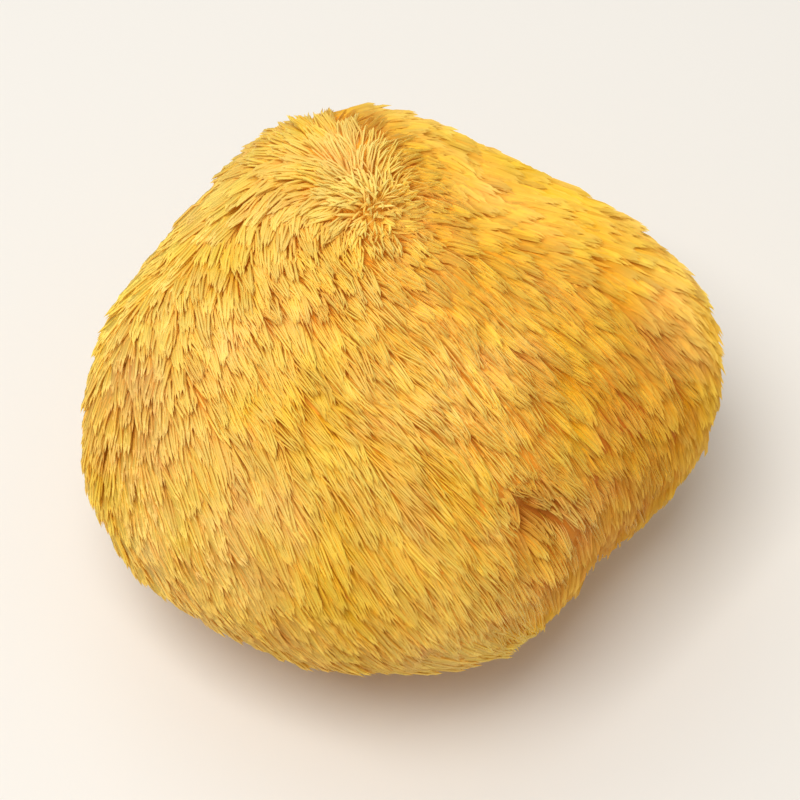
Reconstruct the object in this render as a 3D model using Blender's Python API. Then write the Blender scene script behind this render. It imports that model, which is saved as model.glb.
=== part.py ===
"""A lion's mane mushroom, soaked until plump and cut flat where it grew.

It is one solid: the closed outer form that the tips of the hanging spines reach, a lopsided dome with
a whorl a little behind its top, tucked in below to a short stub that is sliced off level.

Lengths are metres.  -Y is the front, +X the right-hand side, +Z up.  The origin is the middle of the cut.
"""

import math

import bmesh
import bpy
from mathutils import Vector, noise

MM = 0.001

# Driving dimensions of the whole mushroom.
WIDTH = 86.0 * MM
DEPTH = 82.0 * MM
HEIGHT = 57.0 * MM
STUB_RADIUS = 15.0 * MM
STUB_UNEVENNESS = 2.6 * MM

# The form before it is brought to size: a rounded body about a centre, in millimetres.
CENTRE_HEIGHT = 29.0
HALF_WIDTH = 41.5
HALF_DEPTH = 40.0
RISE_ABOVE_CENTRE = 27.5
DROP_BELOW_CENTRE = 25.5

# The section's roundness: 2 is an ellipse, and more is squarer.  The hanging spines fill out the underside.
ROUNDNESS_ABOVE = 2.0
ROUNDNESS_BELOW = 2.5

# Swellings and hollows of the body, as (name, azimuth, elevation, height in mm, spread in degrees).
# Azimuth turns from +X towards +Y, so the front is at -90.
SWELLINGS = (
    ("crown ridge", 112, 45, 7.5, 28),
    ("right shoulder", 8, 20, 4.0, 26),
    ("left belly", -155, -8, 4.0, 34),
    ("front belly", -85, 8, 3.0, 32),
    ("tuck under the shoulder", -40, -8, -5.0, 25),
    ("flat back, right", 48, 20, -3.0, 32),
    ("flat back, left", 145, 18, -1.5, 30),
    ("sunken patch", -60, 21, -4.0, 7),
    ("lip above the patch", -66, 33, 1.0, 9),
)

# Uneven growth all over: broad lumps, then the tufts of spines.
LUMP_SIZE = 15.0
LUMP_HEIGHT = 0.9
TUFT_SIZE = 5.5
TUFT_HEIGHT = 0.75

# Each step splits every triangle in four; five give about 3 mm between points.
SPHERE_SUBDIVISIONS = 5
STUB_BLEND = 3.0

SPINE_COLOUR = (0.760, 0.430, 0.075, 1.0)
SPINE_ROUGHNESS = 0.62


def clear_scene():
    for thing in list(bpy.data.objects):
        bpy.data.objects.remove(thing, do_unlink=True)


def direction(azimuth, elevation):
    """The unit direction at an azimuth and an elevation in degrees."""
    turn, lift = math.radians(azimuth), math.radians(elevation)
    return Vector((math.cos(lift) * math.cos(turn), math.cos(lift) * math.sin(turn), math.sin(lift)))


def head_radius(toward):
    """How far the body reaches from its centre, in millimetres."""
    above = toward.z > 0.0
    power = ROUNDNESS_ABOVE if above else ROUNDNESS_BELOW
    sideways = math.hypot(toward.x / HALF_WIDTH, toward.y / HALF_DEPTH)
    upright = abs(toward.z) / (RISE_ABOVE_CENTRE if above else DROP_BELOW_CENTRE)
    radius = (sideways ** power + upright ** power) ** (-1.0 / power)
    for _name, azimuth, elevation, height, spread in SWELLINGS:
        off = math.degrees(toward.angle(direction(azimuth, elevation)))
        radius += height * math.exp(-((off / spread) ** 2))
    return radius


def stub_radius(toward):
    """How far the stub's side reaches from the centre of the body, in millimetres."""
    if toward.z > -0.3:
        return 0.0
    sideways = Vector((toward.x, toward.y, 0.0))
    girth = (STUB_RADIUS + STUB_UNEVENNESS * noise.noise(1.4 * sideways.normalized())) / MM
    below_the_cut = 1.15 * CENTRE_HEIGHT / -toward.z
    return min(girth / max(sideways.length, 1e-6), below_the_cut)


def blended_maximum(first, second, blend):
    """The larger of two lengths, with a fillet of about the blend's size where they meet."""
    overlap = max(blend - abs(first - second), 0.0) / blend
    return max(first, second) + overlap * overlap * blend / 4.0


def surface_point(toward):
    """The outer surface along a direction from the body's centre, in millimetres."""
    radius = blended_maximum(head_radius(toward), stub_radius(toward), STUB_BLEND)
    point = toward * radius
    lumps = noise.noise(point / LUMP_SIZE) * LUMP_HEIGHT
    tufts = noise.noise(point / TUFT_SIZE) * TUFT_HEIGHT
    return point + toward * (lumps + tufts) + Vector((0.0, 0.0, CENTRE_HEIGHT))


def grow_form():
    """The rounded form with its stub running on below the level of the cut."""
    form = bmesh.new()
    bmesh.ops.create_icosphere(form, subdivisions=SPHERE_SUBDIVISIONS, radius=1.0)
    for vertex in form.verts:
        vertex.co = surface_point(vertex.co.normalized())
    return form


def cut_flat(form):
    """Slice the stub off level at zero height and close the slice with one flat face."""
    everything = form.verts[:] + form.edges[:] + form.faces[:]
    slice_result = bmesh.ops.bisect_plane(
        form, geom=everything, dist=1e-5, plane_co=(0.0, 0.0, 0.0), plane_no=(0.0, 0.0, 1.0), clear_inner=True)
    rim = [part for part in slice_result["geom_cut"] if isinstance(part, bmesh.types.BMEdge)]
    bmesh.ops.holes_fill(form, edges=rim, sides=0)
    bmesh.ops.recalc_face_normals(form, faces=form.faces[:])


def bring_to_size(form):
    """Scale the form to the driving dimensions and set the middle of the cut at the origin."""
    low = [min(vertex.co[axis] for vertex in form.verts) for axis in range(3)]
    high = [max(vertex.co[axis] for vertex in form.verts) for axis in range(3)]
    scale = [size / (top - bottom) for size, top, bottom in zip((WIDTH, DEPTH, HEIGHT), high, low)]
    cut_points = [vertex.co.copy() for vertex in form.verts if abs(vertex.co.z) < 1e-4]
    middle = sum(cut_points, Vector()) / len(cut_points)
    for vertex in form.verts:
        vertex.co = [(vertex.co[axis] - (0.0 if axis == 2 else middle[axis])) * scale[axis] for axis in range(3)]


def make_material(name, colour, roughness):
    material = bpy.data.materials.new(name)
    material.use_nodes = True
    shader = material.node_tree.nodes["Principled BSDF"]
    shader.inputs["Base Color"].default_value = colour
    shader.inputs["Roughness"].default_value = roughness
    shader.inputs["Metallic"].default_value = 0.0
    return material


def make_fruiting_body():
    form = grow_form()
    cut_flat(form)
    bring_to_size(form)
    bmesh.ops.triangulate(form, faces=form.faces[:])
    mesh = bpy.data.meshes.new("fruiting_body")
    form.to_mesh(mesh)
    form.free()
    mesh.materials.append(make_material("spines", SPINE_COLOUR, SPINE_ROUGHNESS))
    mesh.shade_smooth()
    mesh.set_sharp_from_angle(angle=math.radians(60.0))
    body = bpy.data.objects.new("fruiting_body", mesh)
    bpy.context.scene.collection.objects.link(body)
    return body


clear_scene()
make_fruiting_body()
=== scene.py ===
# %% [markdown]
# # A soaked lion's mane mushroom
#
# Lion's mane is a fungus without a cap or gills.  A ball of soft flesh sits on the log it grew from, and
# thousands of thin spines grow out of it and hang down like wet fur.  This one was dried, then soaked
# until it was plump again, so it is golden instead of white.
#
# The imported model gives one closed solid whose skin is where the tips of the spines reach.  Here that
# solid is replaced by what is really there: a smaller body of flesh, and the spines that grow out of it.

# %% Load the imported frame
import math

import bmesh
import bpy
import numpy as np
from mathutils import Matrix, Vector, noise


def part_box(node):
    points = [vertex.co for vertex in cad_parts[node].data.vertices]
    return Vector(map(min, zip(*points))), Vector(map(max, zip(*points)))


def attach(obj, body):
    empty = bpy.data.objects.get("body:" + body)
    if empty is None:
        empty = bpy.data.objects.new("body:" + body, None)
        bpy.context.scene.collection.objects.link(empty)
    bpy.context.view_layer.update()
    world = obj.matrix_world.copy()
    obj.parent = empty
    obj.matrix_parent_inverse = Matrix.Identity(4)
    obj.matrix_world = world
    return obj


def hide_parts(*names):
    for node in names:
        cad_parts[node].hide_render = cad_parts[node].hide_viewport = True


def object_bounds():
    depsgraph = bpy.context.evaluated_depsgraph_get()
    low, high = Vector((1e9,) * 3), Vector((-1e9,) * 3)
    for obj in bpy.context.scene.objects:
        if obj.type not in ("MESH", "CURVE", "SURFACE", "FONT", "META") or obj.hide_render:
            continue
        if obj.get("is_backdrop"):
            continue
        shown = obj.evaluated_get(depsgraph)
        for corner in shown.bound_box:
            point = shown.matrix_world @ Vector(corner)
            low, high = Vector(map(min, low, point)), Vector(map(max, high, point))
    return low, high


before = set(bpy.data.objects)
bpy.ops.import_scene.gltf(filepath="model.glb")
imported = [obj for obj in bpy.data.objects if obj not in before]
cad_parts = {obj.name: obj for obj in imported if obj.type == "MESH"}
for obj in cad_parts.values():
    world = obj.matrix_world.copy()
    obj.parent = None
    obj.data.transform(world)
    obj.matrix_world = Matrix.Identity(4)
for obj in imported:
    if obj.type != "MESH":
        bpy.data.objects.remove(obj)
cad_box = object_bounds()
low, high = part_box("fruiting_body")
size = high - low
print("outer form, mm:", [round(1000.0 * side, 1) for side in size])

# %% [markdown]
# ## The sizes that drive everything
#
# A grower would describe this mushroom with a handful of lengths: how far the flesh lies below the tips,
# how far each spine leans, how thick it is, and how wide the wet locks are that the spines cling
# together in.  They are named once here, in millimetres turned into metres, and the rest is worked out.
# GATHER says how closely a spine follows its lock, from 0 to 1.  WAVER is how far the tips wander.

# %% Sizes of spines and locks
MM = 0.001

FLESH_DEPTH = 1.7 * MM
SPINE_REACH = 8.0 * MM
SPINE_RADIUS = 0.26 * MM
SPINES_PER_SQUARE_METRE = 4.3e6
LOCK_SPACING = 1.6 * MM
LOCKS_PER_SQUARE_METRE = 1.2e6
LOCK_RISE = 0.1 * MM
LOCK_DROP = 1.6 * MM
GATHER = 0.7
UNDERCOAT_SHARE = 0.3
UNDERCOAT_DROP = 0.5 * MM
ROOT_DEPTH = 0.4 * MM
TIP_STRAY = 0.3 * MM
WAVER = 0.9 * MM
COATS = 5
SEED = 7

CENTRE = Vector((0.0, 0.0, 0.5 * size.z))
STUB_RADIUS = 17.5 * MM
STUB_HEIGHT = 6.0 * MM
print("spines to a square millimetre:", round(SPINES_PER_SQUARE_METRE * MM * MM, 1))

# %% [markdown]
# ## Places on the mushroom
#
# Places are named by the direction in which they lie from the middle of the ball: an azimuth that turns
# from the right-hand side towards the back, and an elevation above the horizon.  The spines spread from a
# whorl behind the top.  A sunken patch with two bare slits lies towards the front on the right.  Older,
# browner growth and painted shade, which darkens the low front and the right side, are one list of
# places, each with its spread in degrees and its strength.


# %% Directions from the middle of the ball
def toward(azimuth, elevation):
    """The unit direction at an azimuth and an elevation in degrees."""
    turn, lift = math.radians(azimuth), math.radians(elevation)
    return np.array((math.cos(lift) * math.cos(turn), math.cos(lift) * math.sin(turn), math.sin(lift)))


WHORL = toward(108, 68)
SUNKEN_PATCH = toward(-60, 21)
SLITS_IN_THE_PATCH = (toward(-64, 23), toward(-57, 19))
ABOVE_THE_PATCH = toward(-65, 29)
FURROWED_SIDE = toward(-19, 26)
ROUGH_SHOULDER = toward(40, 45)
FLUFFY_SIDE = toward(165, 35)
LEFT_TUFTS = toward(-170, 13)
# Older browner growth, plus painted shade that darkens the low sides and the right side.
BROWNING_AND_SHADE_PATCHES = (
    *((slit, 3.6, 1.3) for slit in SLITS_IN_THE_PATCH),
    (SUNKEN_PATCH, 8, 0.3),
    (FURROWED_SIDE, 24, 0.7),
    (toward(-168, 14), 10, 1.8),
    (toward(-103, 2), 13, 0.5),
    (toward(-38, 4), 28, 1.0),
    (toward(-125, -5), 36, 0.85))
DOWNHILL = np.array((0.68, -0.60, -0.42))
print("brown patches:", len(BROWNING_AND_SHADE_PATCHES))

# %% [markdown]
# ## A working copy of the outer form
#
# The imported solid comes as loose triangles, so that its shading stays crisp.  Anything that follows its
# surface needs neighbours that share their corners.  The solid itself must not be touched, so a copy is
# made and its doubled corners are merged.


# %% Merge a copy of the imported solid
def welded_copy(source, name):
    """A new mesh object with the source's shape and with its doubled corners merged."""
    form = bmesh.new()
    form.from_mesh(source.data)
    bmesh.ops.remove_doubles(form, verts=form.verts[:], dist=0.01 * MM)
    mesh = bpy.data.meshes.new(name)
    form.to_mesh(mesh)
    form.free()
    mesh.shade_smooth()
    return bpy.data.objects.new(name, mesh)


outer_form = welded_copy(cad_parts["fruiting_body"], "outer_form")
bpy.context.scene.collection.objects.link(outer_form)
print("outer form:", len(outer_form.data.vertices), "corners")

# %% [markdown]
# ## Reading the surface as numbers
#
# The lie of the spines is a field over the surface: a direction, a reach and a few strengths at every
# corner.  Numpy works on all corners at once, so the field is a few lines of arithmetic.  Two helpers
# turn angles into soft masks.


# %% Helpers for fields over the surface
def corners_of(mesh):
    """The positions and the normals of a mesh's corners, as two arrays."""
    positions = np.zeros(3 * len(mesh.vertices))
    normals = np.zeros(3 * len(mesh.vertices))
    mesh.vertices.foreach_get("co", positions)
    mesh.vertex_normals.foreach_get("vector", normals)
    return positions.reshape(-1, 3), normals.reshape(-1, 3)


def unit(vectors):
    return vectors / np.maximum(np.linalg.norm(vectors, axis=-1, keepdims=True), 1e-9)


def tangent_part(vectors, normals):
    """What is left of the vectors once the part along the normals is taken away."""
    return vectors - normals * np.sum(vectors * normals, axis=1, keepdims=True)


def smooth_step(values, start, end):
    share = np.clip((values - start) / (end - start), 0.0, 1.0)
    return share * share * (3.0 - 2.0 * share)


def near(outward, place, spread):
    """A soft mask, 1 at a place and fading over the spread in degrees."""
    off = np.degrees(np.arccos(np.clip(outward @ place, -1.0, 1.0)))
    return np.exp(-((off / spread) ** 2))


def lumpy(positions, feature_size, shift):
    """Smooth noise between about -1 and 1 at every position, with features of the size given."""
    moved = Vector((shift, 0.0, 0.0))
    return np.array([noise.noise(Vector(place) / feature_size + moved) for place in positions])


# %% [markdown]
# ## The flesh
#
# Under the spines is a ball of soft, fibrous flesh that runs down into the short stub.  It could be
# modelled on its own, but it has to stay the length of the spines below their tips everywhere, so the
# copy of the outer form is drawn inwards along its normals.  On the stub, which is bare, it isn't drawn
# in at all, and in the sunken patch only a little, because the spines there are short.  Above the cut the
# skin gets low fibrous lumps from a smooth noise.


# %% Draw the outer form inwards to make the flesh
def stub_mask(positions):
    """1 on the bare stub and its cut, fading to 0 where the spines begin."""
    sideways = np.hypot(positions[:, 0], positions[:, 1])
    beside = 1.0 - smooth_step(sideways, STUB_RADIUS, STUB_RADIUS + 3.0 * MM)
    return beside * (1.0 - smooth_step(positions[:, 2], STUB_HEIGHT, STUB_HEIGHT + 2.0 * MM))


def make_flesh():
    """The flesh, drawn inwards from the outer form, and the mask of its bare stub."""
    flesh = welded_copy(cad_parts["fruiting_body"], "flesh")
    finer = flesh.modifiers.new("finer", "SUBSURF")
    finer.subdivision_type = "SIMPLE"
    finer.levels = finer.render_levels = 1
    bpy.context.scene.collection.objects.link(flesh)
    evaluated = flesh.evaluated_get(bpy.context.evaluated_depsgraph_get())
    mesh = bpy.data.meshes.new_from_object(evaluated)
    flesh.modifiers.clear()
    flesh.data = mesh
    positions, normals = corners_of(mesh)
    outward = unit(positions - np.array(CENTRE))
    bare = stub_mask(positions)
    depth = FLESH_DEPTH * (1.0 - 0.8 * near(outward, SUNKEN_PATCH, 9)) * (1.0 - bare)
    inner = positions - normals * depth[:, None]
    above_the_cut = positions[:, 2] > 0.3 * MM
    fibres = 0.25 * MM * lumpy(positions, 1.6 * MM, 3.0) * above_the_cut
    inner += normals * (fibres - np.abs(fibres.min()))[:, None] * above_the_cut[:, None]
    mesh.vertices.foreach_set("co", inner.ravel())
    mesh.update()
    return flesh, bare


flesh, bare_stub = make_flesh()
print("flesh:", len(flesh.data.polygons), "faces")

# %% [markdown]
# ## The lie of the spines
#
# Spines leave the whorl in all directions, like hair from a crown.  Away from it they are dragged down
# and to the right, the way the ball hung while it dried.  The two directions are added, and a slow noise
# turns the sum a little to either side.  Spines near the whorl and in the sunken patch stand up, so they
# reach less far along the surface; those on the long front slope lie almost flat.
#
# The other fields say how thickly the spines grow, how uneven their locks are, how far their tips stand
# proud, how tangled they are round the whorl, and how much browner growth and painted shade they carry.


# %% Write the lie of the spines on the flesh
def lie_of_spines(positions, normals):
    """The direction along the surface in which the spines lie."""
    outward = unit(positions - np.array(CENTRE))
    closeness = np.sum(outward * WHORL, axis=1)
    away = unit(tangent_part(outward * closeness[:, None] - WHORL, normals))
    downhill = tangent_part(np.broadcast_to(DOWNHILL, positions.shape), normals)
    agreement = np.clip(0.8 + 0.9 * np.sum(away * unit(downhill), axis=1), 0.0, 1.0)
    from_whorl = np.degrees(np.arccos(np.clip(closeness, -1.0, 1.0)))
    drag = 4.5 * smooth_step(from_whorl, 3.0, 26.0) * agreement
    lie = unit(away + downhill * drag[:, None])
    turn = np.radians(11.0) * lumpy(positions, 13.0 * MM, 11.0)[:, None]
    turn += np.radians(9.0) * lumpy(positions, 4.5 * MM, 17.0)[:, None]
    return lie * np.cos(turn) + np.cross(normals, lie) * np.sin(turn)


def reach_of_spines(outward, positions):
    """How far along the surface a spine's tip lies from its root."""
    at_whorl = near(outward, WHORL, 25)
    below = smooth_step(-outward[:, 2], 0.35, 0.85)
    share = 1.0 - 0.55 * at_whorl - 0.18 * near(outward, FLUFFY_SIDE, 28) - 0.5 * below
    share *= (1.0 - 0.5 * near(outward, SUNKEN_PATCH, 7)) * (1.0 - 0.4 * near(outward, ABOVE_THE_PATCH, 7))
    for slit in SLITS_IN_THE_PATCH:
        share *= 1.0 - 0.6 * near(outward, slit, 4.5)
    return SPINE_REACH * np.maximum(share, 0.08) * (1.0 + 0.2 * lumpy(positions, 9.0 * MM, 23.0))


def write_field(mesh, name, kind, values):
    """Stores one value for each corner, where Geometry Nodes and materials can read it."""
    field = mesh.attributes.new(name, kind, "POINT")
    field.data.foreach_set("vector" if kind == "FLOAT_VECTOR" else "value", np.ravel(values))


def write_fields(flesh, bare):
    positions, normals = corners_of(flesh.data)
    outward = unit(positions - np.array(CENTRE))
    # Browner growth and painted shade, summed from the list of places.
    browning_and_shade = sum(strength * near(outward, place, spread) for place, spread, strength in BROWNING_AND_SHADE_PATCHES)
    bald = np.clip(sum(1.5 * near(outward, slit, 2.8) for slit in SLITS_IN_THE_PATCH), 0.0, 0.98)
    write_field(flesh.data, "lie", "FLOAT_VECTOR", lie_of_spines(positions, normals))
    write_field(flesh.data, "reach", "FLOAT", reach_of_spines(outward, positions))
    thick = 0.92 + 0.8 * near(outward, WHORL, 10)
    spiny = thick * (1.0 - bald) * (1.0 - smooth_step(bare, 0.05, 0.5))
    write_field(flesh.data, "spiny", "FLOAT", spiny)
    unruly = 0.7 + 0.9 * near(outward, FURROWED_SIDE, 24) + 0.5 * near(outward, ROUGH_SHOULDER, 30)
    write_field(flesh.data, "unruly", "FLOAT", unruly)
    write_field(flesh.data, "browning_and_shade", "FLOAT", np.clip(browning_and_shade, 0.0, 1.0))
    standing = 1.6 * near(outward, SUNKEN_PATCH, 5) + 0.5 * near(outward, WHORL, 8)
    standing += 0.9 * near(outward, LEFT_TUFTS, 7)
    write_field(flesh.data, "stand", "FLOAT", MM * standing)
    write_field(flesh.data, "tangle", "FLOAT", near(outward, WHORL, 9))


write_fields(flesh, bare_stub)
own_fields = [name for name in flesh.data.attributes.keys() if not name.startswith(".")]
print("fields on the flesh:", own_fields)

# %% [markdown]
# ## One spine to copy
#
# A spine is a slender rod, nearly even for most of its length and then drawn to a soft point.  It could
# be a curve with a bevel, but it is copied tens of thousands of times, so it is a rod of only three
# sides and 16 triangles.  Two sides make a low rounded back that faces out, and are shaded smooth.  The
# third is flat and lies on the spines below, and the tip lies in that flat, as on a chisel, so that no
# dark underside shows.  The rod stands on the origin, one unit long and one unit in radius: its height
# later says how far along the spine a corner is.

# %% Build the rod
SPINE_RINGS = ((0.0, 1.0), (0.5, 1.0), (0.88, 0.82))
SPINE_SECTION = ((0.6, 0.0), (-0.4, 0.95), (-0.4, -0.95))
SPINE_TIP = (-0.35, 0.0, 1.0)


def turn_of(place):
    """The direction of a place around the rod's axis, as a share of a full turn."""
    return math.atan2(place.y, place.x) / (2.0 * math.pi) % 1.0


def build_rod(form):
    """Adds the rod's corners and faces to a mesh being built, and returns its tip."""
    rings = []
    for height, radius in SPINE_RINGS:
        rings.append([form.verts.new((radius * out, radius * aside, height))
                      for out, aside in SPINE_SECTION])
    tip = form.verts.new(SPINE_TIP)
    form.faces.new(rings[0][::-1])
    for lower, upper in zip(rings, rings[1:]):
        for side in range(3):
            after = (side + 1) % 3
            form.faces.new((lower[side], lower[after], upper[after], upper[side]))
    for side in range(3):
        form.faces.new((rings[-1][side], rings[-1][(side + 1) % 3], tip))
    return tip


# %% Unwrap the rod and make it an object
def make_pattern_spine():
    """The rod as an object, with its own map: across is round the rod, up is along it."""
    form = bmesh.new()
    strip = form.loops.layers.uv.new("OFBake")
    tip = build_rod(form)
    for face in form.faces:
        middle = face.calc_center_median()
        face.smooth = middle.x > 0.0
        turn = turn_of(middle)
        for loop in face.loops:
            around = turn_of(loop.vert.co)
            if around < turn - 0.5:
                around += 1.0
            loop[strip].uv = (turn if loop.vert is tip else around, loop.vert.co.z)
    mesh = bpy.data.meshes.new("pattern_spine")
    form.to_mesh(mesh)
    form.free()
    return bpy.data.objects.new("pattern_spine", mesh)


def count_triangles(mesh):
    return sum(len(face.vertices) - 2 for face in mesh.polygons)


pattern_spine = make_pattern_spine()
triangles_each = count_triangles(pattern_spine.data)
print("pattern spine:", triangles_each, "triangles")

# %% [markdown]
# ## Writing node trees as sums
#
# A node tree is easier to read when each node is one line.  `add` places a node, sets its options and
# fills its inputs, either in order or by name, with values or with another node's output.  Small
# wrappers make arithmetic look like arithmetic.


# %% Helpers for node trees
def add(tree, kind, inputs=(), output=0, **options):
    """Places a node, fills its inputs, and returns one of its outputs."""
    made = tree.nodes.new(kind)
    for name, value in options.items():
        setattr(made, name, value)
    sockets = [socket for socket in made.inputs if socket.enabled]
    wanted = inputs.items() if isinstance(inputs, dict) else enumerate(inputs)
    for where, source in wanted:
        socket = sockets[where] if isinstance(where, int) else next(s for s in sockets if s.name == where)
        if isinstance(source, bpy.types.NodeSocket):
            tree.links.new(source, socket)
        else:
            socket.default_value = source
    outputs = [socket for socket in made.outputs if socket.enabled]
    return outputs[output] if isinstance(output, int) else next(s for s in outputs if s.name == output)


def number(tree, operation, *sources):
    return add(tree, "ShaderNodeMath", sources, operation=operation)


def vector(tree, operation, *sources):
    return add(tree, "ShaderNodeVectorMath", sources, operation=operation)


def between(tree, share, first, second, kind="VECTOR"):
    return add(tree, "ShaderNodeMix", {"Factor": share, "A": first, "B": second}, data_type=kind)


# %% Random numbers, stored fields and named inputs
def chance(tree, least, most, seed, kind="FLOAT"):
    """A different random value for each point."""
    return add(tree, "FunctionNodeRandomValue", {"Min": least, "Max": most, "Seed": seed}, data_type=kind)


def any_way(tree, seed):
    """A different random vector for each point, up to one unit along each axis."""
    return chance(tree, (-1.0,) * 3, (1.0,) * 3, seed, "FLOAT_VECTOR")


def field(tree, name, kind="FLOAT"):
    return add(tree, "GeometryNodeInputNamedAttribute", {"Name": name}, data_type=kind)


def store(tree, geometry, name, value, kind="FLOAT", domain="POINT"):
    return add(tree, "GeometryNodeStoreNamedAttribute",
               {"Geometry": geometry, "Name": name, "Value": value}, data_type=kind, domain=domain)


SOCKETS = {"geometry": "NodeSocketGeometry", "length": "NodeSocketFloat", "whole": "NodeSocketInt",
           "object": "NodeSocketObject", "material": "NodeSocketMaterial"}


def new_group(name, kind, inputs, outputs):
    """A node tree with named inputs and outputs, given as name and socket kind."""
    tree = bpy.data.node_groups.new(name, kind)
    for title, socket in inputs:
        tree.interface.new_socket(title, in_out="INPUT", socket_type=SOCKETS[socket])
    for title, socket in outputs:
        tree.interface.new_socket(title, in_out="OUTPUT", socket_type=SOCKETS[socket])
    ins, outs = tree.nodes.new("NodeGroupInput"), tree.nodes.new("NodeGroupOutput")
    return tree, {socket.name: socket for socket in ins.outputs}, outs


# %% [markdown]
# ## Wet locks
#
# Wet spines cling together in soft locks, as wet fur does.  The locks could be combed by hand, but there
# are thousands of them.  So a lock is one point on the flesh, spaced evenly from its neighbours, with a
# tip of its own: the point slides along the lie of the spines and is then brought out to the outer form.
# Most tips end near that form.  A few lie much lower, which opens amber slits between the locks.


# %% Nodes that lay out the locks
def reach_out(tree, outer, roots, lie, reach):
    """Slides a root along the lie of the spines and out to the outer form."""
    slid = vector(tree, "ADD", roots, vector(tree, "SCALE", lie, reach))
    return add(tree, "GeometryNodeProximity", {"Geometry": outer, "Sample Position": slid},
               target_element="FACES", output="Position")


def lay_out_locks(tree, given, outer):
    """Points for the locks, each with its tip, its rank and its tone."""
    locks = add(tree, "GeometryNodeDistributePointsOnFaces",
                {"Mesh": given["Geometry"], "Distance Min": given["Lock Spacing"],
                 "Density Max": given["Locks Per Area"], "Density Factor": field(tree, "spiny"),
                 "Seed": given["Seed"]}, distribute_method="POISSON")
    normal = locks.node.outputs["Normal"]
    here = add(tree, "GeometryNodeInputPosition")
    straying = number(tree, "MULTIPLY_ADD", field(tree, "tangle"), 1.6, 0.14)
    astray = vector(tree, "SCALE", any_way(tree, 1), straying)
    lie = vector(tree, "NORMALIZE", vector(tree, "ADD", field(tree, "lie", "FLOAT_VECTOR"), astray))
    reach = number(tree, "MULTIPLY", field(tree, "reach"), chance(tree, 0.8, 1.2, 2))
    tip = reach_out(tree, outer, here, lie, reach)
    low = number(tree, "POWER", chance(tree, 0.0, 1.0, 3), 3.0)
    height = number(tree, "MULTIPLY_ADD", low, -LOCK_DROP, LOCK_RISE)
    height = number(tree, "MULTIPLY", height, field(tree, "unruly"))
    tip = vector(tree, "ADD", tip, vector(tree, "SCALE", normal, height))
    locks = store(tree, locks, "lock_tip", tip, "FLOAT_VECTOR")
    locks = store(tree, locks, "lock_rank", chance(tree, 0.0, 1.0, 4))
    return store(tree, locks, "lock_tone", chance(tree, 0.0, 1.0, 5))


# %% [markdown]
# ## A root and a tip for every spine
#
# Roots are scattered over the flesh.  Each looks up the nearest lock, and its own tip is drawn most of
# the way to the lock's tip.  Lengths differ a little, so the ends of a lock are ragged.  About a third of
# the spines hardly follow their lock: they make the loose undercoat that hides the flesh.
#
# Fifty thousand spines are too heavy for one mesh, so they are split into a few coats.  Each lock draws
# a number, and that says which coat its spines belong to.


# %% Nodes that scatter the roots
def find_lock(tree, locks, name, kind):
    """A value stored on the lock that is nearest to each point."""
    here = add(tree, "GeometryNodeInputPosition")
    nearest = add(tree, "GeometryNodeSampleNearest", {"Geometry": locks, "Sample Position": here},
                  domain="POINT")
    return add(tree, "GeometryNodeSampleIndex",
               {"Geometry": locks, "Value": field(tree, name, kind), "Index": nearest},
               data_type=kind, domain="POINT")


def scatter_roots(tree, given, locks):
    """Roots of one coat's spines, each with its lock's tip, rank and tone."""
    roots = add(tree, "GeometryNodeDistributePointsOnFaces",
                {"Mesh": given["Geometry"],
                 "Density": number(tree, "MULTIPLY", given["Spines Per Area"], field(tree, "spiny")),
                 "Seed": number(tree, "ADD", given["Seed"], 1)}, distribute_method="RANDOM")
    roots = store(tree, roots, "skin", roots.node.outputs["Normal"], "FLOAT_VECTOR")
    for name, kind in (("lock_tip", "FLOAT_VECTOR"), ("lock_rank", "FLOAT"), ("lock_tone", "FLOAT")):
        roots = store(tree, roots, name, find_lock(tree, locks, name, kind), kind)
    coat = number(tree, "FLOOR", number(tree, "MULTIPLY", field(tree, "lock_rank"), given["Coats"]))
    apart = number(tree, "ABSOLUTE", number(tree, "SUBTRACT", coat, given["Coat"]))
    other_coat = number(tree, "GREATER_THAN", apart, 0.5)
    return add(tree, "GeometryNodeDeleteGeometry", (roots, other_coat), domain="POINT")


# %% [markdown]
# ## The curve of a spine
#
# A spine grows straight out of the flesh, then gives way under its own weight and lies along the
# surface.  A curve object for each would be far too many, so three places are stored on each root: where
# the spine starts, where it bends and where it ends.


# %% Nodes that give each spine its bend and tip
def place_tips(tree, given, outer, root, skin, lie, under):
    """The tips: on the outer form, drawn to the tips of the locks, and each a little astray."""
    here = add(tree, "GeometryNodeInputPosition")
    reach = number(tree, "MULTIPLY", field(tree, "reach"), chance(tree, 0.85, 1.1, 11))
    straying = number(tree, "MULTIPLY_ADD", field(tree, "tangle"), 1.2, 0.06)
    astray = vector(tree, "SCALE", any_way(tree, 18), straying)
    heading = vector(tree, "NORMALIZE", vector(tree, "ADD", lie, astray))
    own_tip = reach_out(tree, outer, here, heading, reach)
    gather = number(tree, "MULTIPLY", given["Gather"], chance(tree, 0.8, 1.1, 12))
    combed = number(tree, "MULTIPLY_ADD", field(tree, "tangle"), -0.5, 1.0)
    gather = number(tree, "MULTIPLY", gather, combed)
    gather = number(tree, "MULTIPLY", gather, number(tree, "MULTIPLY_ADD", under, -0.85, 1.0))
    proud = number(tree, "MULTIPLY_ADD", under, -UNDERCOAT_DROP, field(tree, "stand"))
    stray = vector(tree, "SCALE", any_way(tree, 13), TIP_STRAY)
    stray = vector(tree, "ADD", stray, vector(tree, "SCALE", skin, proud))
    lock_tip = field(tree, "lock_tip", "FLOAT_VECTOR")
    tip = vector(tree, "ADD", between(tree, gather, own_tip, lock_tip), stray)
    return between(tree, chance(tree, 0.8, 1.03, 14), root, tip)


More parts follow.
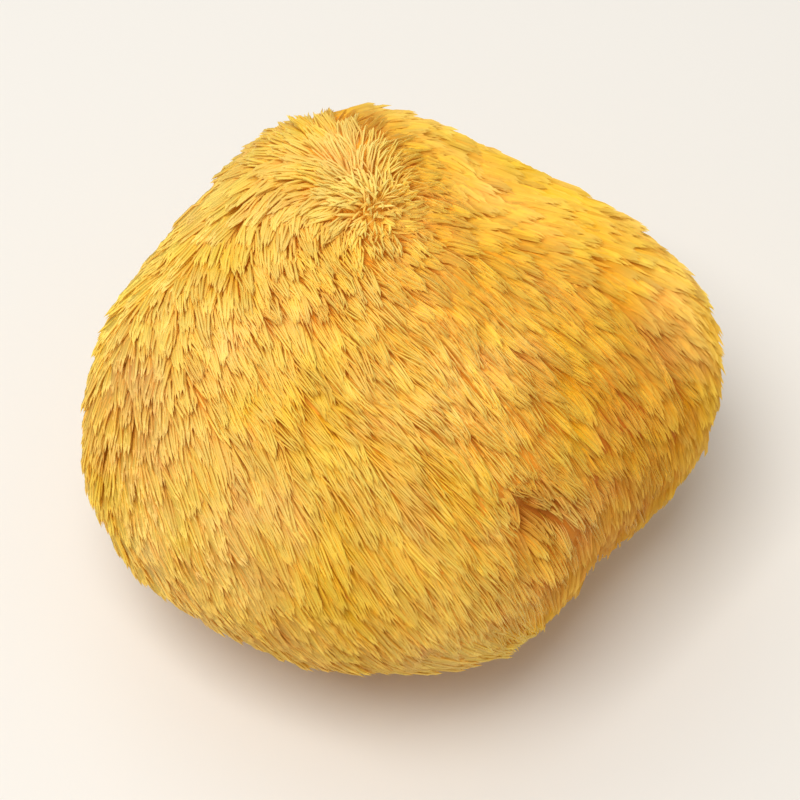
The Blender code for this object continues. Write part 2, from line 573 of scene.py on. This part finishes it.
def place_bends(tree, root, tip, skin, lie):
    """The bends: nearly as high as the tips, but only a third of the way along."""
    leap = vector(tree, "SUBTRACT", tip, root)
    height = number(tree, "MULTIPLY", vector(tree, "DOT_PRODUCT", leap, skin), chance(tree, 0.85, 1.1, 19))
    length = number(tree, "MULTIPLY", vector(tree, "DOT_PRODUCT", leap, lie), chance(tree, 0.2, 0.42, 20))
    rise, along = vector(tree, "SCALE", skin, height), vector(tree, "SCALE", lie, length)
    return vector(tree, "ADD", root, vector(tree, "ADD", rise, along))


def shape_spines(tree, given, outer, roots):
    """Stores where each spine starts, bends and ends, and how stout it is."""
    here = add(tree, "GeometryNodeInputPosition")
    skin, lie = field(tree, "skin", "FLOAT_VECTOR"), field(tree, "lie", "FLOAT_VECTOR")
    under = number(tree, "LESS_THAN", chance(tree, 0.0, 1.0, 17), given["Undercoat"])
    root = vector(tree, "ADD", here, vector(tree, "SCALE", skin, -ROOT_DEPTH))
    tip = place_tips(tree, given, outer, root, skin, lie, under)
    stout = number(tree, "MULTIPLY", given["Spine Radius"], chance(tree, 0.75, 1.25, 15))
    for name, value, kind in (("root_at", root, "FLOAT_VECTOR"),
                              ("bend_at", place_bends(tree, root, tip, skin, lie), "FLOAT_VECTOR"),
                              ("tip_at", tip, "FLOAT_VECTOR"),
                              ("stout", stout, "FLOAT"),
                              ("spine_tone", chance(tree, 0.0, 1.0, 16), "FLOAT"),
                              ("under", under, "FLOAT"),
                              ("spine_number", add(tree, "GeometryNodeInputIndex"), "FLOAT")):
        roots = store(tree, roots, name, value, kind)
    return roots


# %% [markdown]
# ## Bending the copies
#
# The pattern spine is copied to every root and the copies are turned into real mesh.  Each corner still
# knows its height on the pattern, and that is its place along a curve from root through bend to tip.
# Its place on the pattern's ring is turned to stand across the curve.  A slow noise then makes
# neighbours waver together, more towards the tips.


# %% Nodes that bend a straight spine along its curve
def bend_copies(tree, pattern, roots):
    """Real spines on all the roots, bent along their curves."""
    captured = tree.nodes.new("GeometryNodeCaptureAttribute")
    captured.capture_items.new("VECTOR", "Pattern")
    tree.links.new(pattern, captured.inputs["Geometry"])
    tree.links.new(add(tree, "GeometryNodeInputPosition"), captured.inputs["Pattern"])
    copies = add(tree, "GeometryNodeInstanceOnPoints",
                 {"Points": roots, "Instance": captured.outputs["Geometry"]})
    spines = add(tree, "GeometryNodeRealizeInstances", {"Geometry": copies})
    parts = add(tree, "ShaderNodeSeparateXYZ", (captured.outputs["Pattern"],)).node.outputs
    spines = store(tree, spines, "along", parts["Z"])
    root, bend, tip, lie, skin = (
        field(tree, name, "FLOAT_VECTOR") for name in ("root_at", "bend_at", "tip_at", "lie", "skin"))
    first = between(tree, parts["Z"], root, bend)
    second = between(tree, parts["Z"], bend, tip)
    middle_line = between(tree, parts["Z"], first, second)
    heading = vector(tree, "SUBTRACT", second, first)
    sideways = vector(tree, "CROSS_PRODUCT", skin, lie)
    across = vector(tree, "NORMALIZE", vector(tree, "CROSS_PRODUCT", heading, sideways))
    aside = vector(tree, "NORMALIZE", vector(tree, "CROSS_PRODUCT", across, heading))
    ring = vector(tree, "ADD", vector(tree, "SCALE", aside, parts["X"]),
                  vector(tree, "SCALE", across, parts["Y"]))
    placed = vector(tree, "ADD", middle_line, vector(tree, "SCALE", ring, field(tree, "stout")))
    placed = vector(tree, "ADD", placed, waver(tree, middle_line, parts["Z"]))
    return add(tree, "GeometryNodeSetPosition", {"Geometry": spines, "Position": placed})


def waver(tree, place, along):
    """A slow sideways wander, the same for neighbours, that grows towards the tips."""
    cloud = add(tree, "ShaderNodeTexNoise", {"Vector": place, "Scale": 0.22 / MM, "Detail": 1.0},
                output="Color")
    centred = vector(tree, "SUBTRACT", cloud, (0.5, 0.5, 0.5))
    return vector(tree, "SCALE", centred, number(tree, "MULTIPLY", along, WAVER))


# %% [markdown]
# ## A strip of the map for every spine
#
# When the colours are saved into an image for other programs, each spine needs its own bit of it.  The
# image is ruled into tall narrow cells, root at the bottom and tip at the top, one for each spine.


# %% Nodes that lay the spines out on a map
MAP_COLUMNS = 180


def lay_out_map(tree, spines, count):
    """Moves each spine's own small map into its cell of the shared one."""
    index = field(tree, "spine_number")
    column = number(tree, "MODULO", index, MAP_COLUMNS)
    row = number(tree, "FLOOR", number(tree, "DIVIDE", index, MAP_COLUMNS))
    rows = number(tree, "CEIL", number(tree, "DIVIDE", count, MAP_COLUMNS))
    strip = add(tree, "ShaderNodeSeparateXYZ", (field(tree, "OFBake", "FLOAT_VECTOR"),)).node.outputs
    inside_x = number(tree, "MULTIPLY_ADD", strip["X"], 0.6, 0.1)
    inside_y = number(tree, "MULTIPLY_ADD", strip["Y"], 0.86, 0.07)
    u = number(tree, "DIVIDE", number(tree, "ADD", column, inside_x), MAP_COLUMNS)
    v = number(tree, "DIVIDE", number(tree, "ADD", row, inside_y), rows)
    place = add(tree, "ShaderNodeCombineXYZ", {"X": u, "Y": v})
    return store(tree, spines, "OFBake", place, "FLOAT2", "CORNER")


# %% [markdown]
# ## The whole tree
#
# The tree runs from the locks to the roots, the bent copies and the map.  Fields that only the building
# needed are taken off the spines at the end; those that the finish reads stay on.

# %% Put the tree together
TREE_INPUTS = (
    ("Geometry", "geometry"), ("Outer Form", "object"), ("Pattern Spine", "object"),
    ("Lock Spacing", "length"), ("Locks Per Area", "length"), ("Spines Per Area", "length"),
    ("Spine Radius", "length"), ("Gather", "length"), ("Undercoat", "length"), ("Coat", "whole"),
    ("Coats", "whole"), ("Seed", "whole"), ("Finish", "material"))
BUILDING_FIELDS = ("root_at", "bend_at", "tip_at", "skin", "lie", "stout", "reach", "spiny", "unruly",
                   "stand", "spine_number", "lock_tip")


def make_spine_tree():
    tree, given, result = new_group("Combed spines", "GeometryNodeTree", TREE_INPUTS,
                                    (("Geometry", "geometry"),))
    outer = add(tree, "GeometryNodeObjectInfo", {"Object": given["Outer Form"]}, output="Geometry")
    pattern = add(tree, "GeometryNodeObjectInfo", {"Object": given["Pattern Spine"]}, output="Geometry")
    locks = lay_out_locks(tree, given, outer)
    roots = shape_spines(tree, given, outer, scatter_roots(tree, given, locks))
    count = add(tree, "GeometryNodeAttributeDomainSize", (roots,), component="POINTCLOUD")
    spines = lay_out_map(tree, bend_copies(tree, pattern, roots), count)
    for name in BUILDING_FIELDS:
        spines = add(tree, "GeometryNodeRemoveAttribute", {"Geometry": spines, "Name": name})
    finished = add(tree, "GeometryNodeSetMaterial", {"Geometry": spines, "Material": given["Finish"]})
    tree.links.new(finished, result.inputs["Geometry"])
    return tree


spine_tree = make_spine_tree()
print("spine tree:", len(spine_tree.nodes), "nodes")

# %% [markdown]
# ## Finishes
#
# Soaked spines are honey-gold: deep amber at the root and pale at the tip.  The deep amber is partly
# their own colour and partly painted shade where they crowd together at the root; the pale tip is partly
# painted light, where they are thin and the light comes through.  No two locks have quite the same tone,
# and older patches are browner, with painted shade added on the low front and the right side.  The flesh
# and the spines share two effects.  Each could be built twice, but a shader group made once can be placed
# in both: slow patches of tone over the whole mushroom, and a fine fibrous grain.


# %% Shared effects as shader groups
def make_patchy_growth():
    """Slow patches of tone, about 0.5 on average."""
    inputs, outputs = (("Patch Size", "length"),), (("Tone", "length"),)
    tree, given, result = new_group("Patchy growth", "ShaderNodeTree", inputs, outputs)
    place = add(tree, "ShaderNodeTexCoord", output="Object")
    scale = number(tree, "DIVIDE", 1.0, given["Patch Size"])
    broad = add(tree, "ShaderNodeTexNoise",
                {"Vector": place, "Scale": scale, "Detail": 3.0, "Roughness": 0.55})
    tree.links.new(broad, result.inputs["Tone"])
    return tree


def make_fine_fibres():
    """A fine grain for the height of a bump and for roughness."""
    inputs, outputs = (("Grain Size", "length"),), (("Height", "length"), ("Dryness", "length"))
    tree, given, result = new_group("Fine fibres", "ShaderNodeTree", inputs, outputs)
    place = add(tree, "ShaderNodeTexCoord", output="Object")
    scale = number(tree, "DIVIDE", 1.0, given["Grain Size"])
    grain = add(tree, "ShaderNodeTexNoise",
                {"Vector": place, "Scale": scale, "Detail": 2.0, "Roughness": 0.6})
    coarser = number(tree, "DIVIDE", scale, 8.0)
    coarse = add(tree, "ShaderNodeTexNoise", {"Vector": place, "Scale": coarser, "Detail": 1.0})
    dryness = number(tree, "MULTIPLY_ADD", coarse, 0.6, number(tree, "MULTIPLY", grain, 0.4))
    tree.links.new(grain, result.inputs["Height"])
    tree.links.new(dryness, result.inputs["Dryness"])
    return tree


patchy_growth, fine_fibres = make_patchy_growth(), make_fine_fibres()
print("shared effects:", patchy_growth.name, "and", fine_fibres.name)


# %% [markdown]
# ### Helpers for materials
#
# Both finishes need a shader to start from, a placed group, a colour ramp, a value stored on the mesh
# and a bump.  Each is a few clicks in the editor and one short function here.


# %% Helpers for materials
def new_material(name):
    material = bpy.data.materials.new(name)
    material.use_nodes = True
    shader = material.node_tree.nodes["Principled BSDF"]
    return material, material.node_tree, shader


def use_group(tree, group, **values):
    """Places a shader group with its own values and returns its outputs by name."""
    placed = tree.nodes.new("ShaderNodeGroup")
    placed.node_tree = group
    for name, value in values.items():
        placed.inputs[name.replace("_", " ")].default_value = value
    return placed.outputs


def ramp(tree, share, stops):
    """A colour that runs through the stops, given as place and colour."""
    made = tree.nodes.new("ShaderNodeValToRGB")
    steps = made.color_ramp.elements
    while len(steps) < len(stops):
        steps.new(0.5)
    for step, (place, colour) in zip(steps, stops):
        step.position = place
        step.color = (*colour, 1.0)
    tree.links.new(share, made.inputs["Fac"])
    return made.outputs["Color"]


def attribute(tree, name):
    made = tree.nodes.new("ShaderNodeAttribute")
    made.attribute_name = name
    return made.outputs["Fac"]


def bump(tree, shader, height, strength, distance):
    made = add(tree, "ShaderNodeBump", {"Strength": strength, "Distance": distance, "Height": height})
    tree.links.new(made, shader.inputs["Normal"])


# %% [markdown]
# ### The finish of the spines
#
# The colour follows the spine from root to tip, and its deep amber at the roots and on the lower
# undercoat is partly painted shade.  On top of that, each lock and each spine gets a little brightness of
# its own from the numbers that the node tree stored on it.  Patches a few millimetres across shift the hue
# between straw and amber, and the places of the field on the flesh that are browner, or carry painted
# shade, are tinted russet.
#
# Wet flesh is translucent, so the slits between the spines fill with amber light that has passed from
# spine to spine.  Subsurface scattering is the direct way, but it is not used here.  Instead a faint,
# even amber glow is painted on as emission over spines and flesh alike: painted light that lifts the shade.

# %% Material of the spines
AMBER = (0.94, 0.44, 0.034)
HONEY = (0.93, 0.59, 0.072)
STRAW = (0.93, 0.655, 0.108)
PALE_TIP = (0.95, 0.71, 0.145)
RUSSET = (0.60, 0.22, 0.02)
# Painted light: an even amber emission on spines and flesh, not a lamp, that lifts the shade in the slits.
PAINTED_GLOW = (1.0, 0.44, 0.035)
PAINTED_GLOW_STRENGTH = 0.06


def paint_amber_glow(shader):
    """A painted glow: faint, even amber emission standing in for light that wet flesh passes on."""
    shader.inputs["Emission Color"].default_value = (*PAINTED_GLOW, 1.0)
    shader.inputs["Emission Strength"].default_value = PAINTED_GLOW_STRENGTH


def make_spine_finish():
    material, tree, shader = new_material("spines")
    along = attribute(tree, "along")
    height = number(tree, "MULTIPLY_ADD", attribute(tree, "tangle"), 0.4, along)
    # Deep amber at the roots is partly painted shade; pale at the tips is partly painted light.
    colour = ramp(tree, height, ((0.0, AMBER), (0.42, HONEY), (0.8, STRAW), (1.0, PALE_TIP)))
    # The lower undercoat is tinted deeper amber: painted shade.
    undercoat_shade = number(tree, "MULTIPLY", attribute(tree, "under"), 0.35)
    colour = between(tree, undercoat_shade, colour, (*AMBER, 1.0), "RGBA")
    patches = use_group(tree, patchy_growth, Patch_Size=16.0 * MM)["Tone"]
    fading = number(tree, "MULTIPLY_ADD", along, -1.2, 1.7)
    # Russet for browner growth and for painted shade, stronger towards the roots.
    browning_and_shade_mix = number(tree, "MULTIPLY", attribute(tree, "browning_and_shade"), number(tree, "MULTIPLY", patches, fading))
    colour = between(tree, number(tree, "MINIMUM", browning_and_shade_mix, 0.8), colour, (*RUSSET, 1.0), "RGBA")
    tone = number(tree, "MULTIPLY_ADD", attribute(tree, "lock_tone"), 0.14, 0.86)
    tone = number(tree, "MULTIPLY_ADD", attribute(tree, "spine_tone"), 0.12, tone)
    tone = number(tree, "MULTIPLY_ADD", patches, 0.24, number(tree, "SUBTRACT", tone, 0.16))
    tufts = use_group(tree, patchy_growth, Patch_Size=5.0 * MM)["Tone"]
    hue = number(tree, "MULTIPLY_ADD", attribute(tree, "lock_tone"), 0.010, 0.481)
    hue = number(tree, "MULTIPLY_ADD", tufts, 0.030, hue)
    richness = number(tree, "MULTIPLY_ADD", patches, -0.35, 1.17)
    toned = add(tree, "ShaderNodeHueSaturation",
                {"Hue": hue, "Saturation": richness, "Value": tone, "Color": colour})
    tree.links.new(toned, shader.inputs["Base Color"])
    grain = use_group(tree, fine_fibres, Grain_Size=0.18 * MM)
    tree.links.new(number(tree, "MULTIPLY_ADD", grain["Dryness"], 0.3, 0.34), shader.inputs["Roughness"])
    bump(tree, shader, grain["Height"], 0.25, 0.03 * MM)
    shader.inputs["Specular IOR Level"].default_value = 0.35
    # The painted amber glow.
    paint_amber_glow(shader)
    return material


spine_finish = make_spine_finish()
print("finish of the spines:", len(spine_finish.node_tree.nodes), "nodes")

# %% [markdown]
# ### The finish of the flesh
#
# The flesh shows only in the deepest slits, in the sunken patch and on the stub.  It is deep amber and
# matt, more golden under the whorl and redder where the growth is browner and where painted shade lies
# on the low front and the right side.  The cut under the stub is paler inside, with a browner rim where
# it dried.  One material covers all of it, and the height above the cut says which look shows.

# %% Material of the flesh
FLESH_AMBER = (0.90, 0.40, 0.025)
FLESH_GOLD = (0.95, 0.48, 0.04)
FLESH_BROWN = (0.58, 0.18, 0.012)
CUT_CREAM = (0.72, 0.50, 0.24)
CUT_RIM = (0.38, 0.19, 0.06)


def make_flesh_finish():
    material, tree, shader = new_material("flesh")
    place = add(tree, "ShaderNodeTexCoord", output="Object")
    parts = add(tree, "ShaderNodeSeparateXYZ", (place,)).node.outputs
    patches = use_group(tree, patchy_growth, Patch_Size=7.0 * MM)["Tone"]
    grain = use_group(tree, fine_fibres, Grain_Size=0.5 * MM)
    skin = between(tree, patches, (*FLESH_AMBER, 1.0), (*FLESH_GOLD, 1.0), "RGBA")
    skin = between(tree, attribute(tree, "tangle"), skin, (*HONEY, 1.0), "RGBA")
    # Redder where the growth is browner and where painted shade lies.
    skin = between(tree, attribute(tree, "browning_and_shade"), skin, (*FLESH_BROWN, 1.0), "RGBA")
    sideways = add(tree, "ShaderNodeCombineXYZ", {"X": parts["X"], "Y": parts["Y"]})
    out = vector(tree, "LENGTH", sideways)
    out = number(tree, "MULTIPLY_ADD", number(tree, "SUBTRACT", patches, 0.5), 6.0 * MM, out)
    rim = add(tree, "ShaderNodeMapRange", {"Value": out, "From Min": 8.0 * MM, "From Max": 15.0 * MM})
    cut = between(tree, rim, (*CUT_CREAM, 1.0), (*CUT_RIM, 1.0), "RGBA")
    cut = between(tree, number(tree, "MULTIPLY", grain["Height"], 0.5), cut, (*CUT_RIM, 1.0), "RGBA")
    on_cut = add(tree, "ShaderNodeMapRange", {"Value": parts["Z"], "From Min": 0.2 * MM,
                                              "From Max": 0.6 * MM, "To Min": 1.0, "To Max": 0.0})
    colour = between(tree, on_cut, skin, cut, "RGBA")
    tree.links.new(colour, shader.inputs["Base Color"])
    tree.links.new(number(tree, "MULTIPLY_ADD", grain["Dryness"], 0.3, 0.5), shader.inputs["Roughness"])
    bump(tree, shader, grain["Height"], 0.6, 0.15 * MM)
    shader.inputs["Specular IOR Level"].default_value = 0.3
    # The same painted amber glow as on the spines.
    paint_amber_glow(shader)
    return material


flesh.data.materials.clear()
flesh.data.materials.append(make_flesh_finish())
print("finish of the flesh:", len(flesh.active_material.node_tree.nodes), "nodes")

# %% [markdown]
# ## Growing the spines
#
# The tree runs once for each coat.  The result is turned into a plain mesh, because other programs know
# nothing of node trees, and the modifier is taken off again.


# %% Grow the coats of spines
def set_inputs(modifier, values):
    """Fills a Geometry Nodes modifier's inputs, found by their names, through their identifiers."""
    for item in modifier.node_group.interface.items_tree:
        if item.in_out == "INPUT" and item.name in values:
            modifier[item.identifier] = values[item.name]


def grow_coat(coat):
    """One coat of spines as a plain mesh of its own."""
    grower = flesh.modifiers.new("spines", "NODES")
    grower.node_group = spine_tree
    set_inputs(grower, {
        "Outer Form": outer_form, "Pattern Spine": pattern_spine, "Lock Spacing": LOCK_SPACING,
        "Locks Per Area": LOCKS_PER_SQUARE_METRE, "Spines Per Area": SPINES_PER_SQUARE_METRE,
        "Spine Radius": SPINE_RADIUS, "Gather": GATHER, "Undercoat": UNDERCOAT_SHARE,
        "Coat": coat, "Coats": COATS, "Seed": SEED, "Finish": spine_finish})
    depsgraph = bpy.context.evaluated_depsgraph_get()
    mesh = bpy.data.meshes.new_from_object(
        flesh.evaluated_get(depsgraph), preserve_all_data_layers=True, depsgraph=depsgraph)
    flesh.modifiers.remove(grower)
    name = f"spine_coat_{coat + 1}"
    mesh.name = name
    piece = bpy.data.objects.new(name, mesh)
    bpy.context.scene.collection.objects.link(piece)
    triangles = count_triangles(mesh)
    print(name, triangles, "triangles,", triangles // triangles_each, "spines")
    return piece


coats = [grow_coat(coat) for coat in range(COATS)]

# %% [markdown]
# ## One mushroom of six pieces
#
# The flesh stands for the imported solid, and the coats of spines grow on it.  Nothing on the mushroom
# moves, so every piece rides on the one body.  The guides have done their work and are removed.

# %% Hand the pieces to the frame
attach(flesh, "root")
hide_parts("fruiting_body")
for coat in coats:
    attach(coat, "root")
for guide in (outer_form, pattern_spine):
    bpy.data.objects.remove(guide, do_unlink=True)
print("pieces handed over:", 1 + len(coats))

# %% [markdown]
# ## Floor, light and camera
#
# A plain pale floor carries the mushroom.  A single hard lamp would make every spine a black line, so the
# light is soft: a key softbox stands high above the left of the front, a weaker one behind picks out the
# rim, and an even pale sky fills the slits.  The camera looks down at the front from well above it.


# %% Floor
def make_floor():
    bpy.ops.mesh.primitive_plane_add(size=6.0, location=(0.0, 0.0, -0.05 * MM))
    floor = bpy.context.object
    floor.name = "floor"
    material, _, shader = new_material("pale floor")
    shader.inputs["Base Color"].default_value = (0.86, 0.84, 0.80, 1.0)
    shader.inputs["Roughness"].default_value = 0.6
    floor.data.materials.append(material)
    floor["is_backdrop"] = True


make_floor()


# %% Lights
def add_softbox(name, azimuth, elevation, distance, side, power, colour):
    """A square area light in a direction from the mushroom, aimed at it."""
    light = bpy.data.lights.new(name, "AREA")
    light.size = side
    light.energy = power
    light.color = colour
    softbox = bpy.data.objects.new(name, light)
    softbox.location = CENTRE + distance * Vector(toward(azimuth, elevation))
    softbox.rotation_euler = (softbox.location - CENTRE).to_track_quat("Z", "Y").to_euler()
    bpy.context.scene.collection.objects.link(softbox)


WARM_WHITE = (1.0, 0.98, 0.95)
add_softbox("key", -126, 70, 1.1, 0.6, 8.6, WARM_WHITE)
add_softbox("rim", 130, 55, 1.0, 1.0, 2.4, WARM_WHITE)

world = bpy.data.worlds.new("studio")
world.use_nodes = True
sky = world.node_tree.nodes["Background"].inputs
sky["Color"].default_value = (1.0, 0.985, 0.96, 1.0)
sky["Strength"].default_value = 0.36
bpy.context.scene.world = world
print("lights:", [light.name for light in bpy.data.lights])

# %% Camera
CAMERA_ELEVATION = 54
CAMERA_DISTANCE = 0.42
FILL_OF_FRAME = 0.80


def add_camera():
    """A camera in front and well above, with a lens that lets the mushroom fill its frame."""
    camera = bpy.data.cameras.new("camera")
    lens_target = Vector((0.0, -0.001, 0.46 * size.z))
    camera.lens = camera.sensor_width * CAMERA_DISTANCE * FILL_OF_FRAME / size.x
    viewer = bpy.data.objects.new("camera", camera)
    viewer.location = lens_target + CAMERA_DISTANCE * Vector(toward(-90, CAMERA_ELEVATION))
    viewer.rotation_euler = (viewer.location - lens_target).to_track_quat("Z", "Y").to_euler()
    camera.clip_start = 0.01
    bpy.context.scene.collection.objects.link(viewer)
    bpy.context.scene.camera = viewer


add_camera()
bpy.context.scene.view_settings.view_transform = "Standard"

# %% [markdown]
# ## Sizes
#
# The spines end on the outer form, so the whole should still be as big as the imported model.  Both boxes
# are printed.

# %% Print the sizes of both boxes
boxes = {"cad": [list(corner) for corner in cad_box], "visual": [list(corner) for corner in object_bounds()]}
for name, box in boxes.items():
    print(name, "box, mm:", [[round(side / MM, 1) for side in corner] for corner in box])
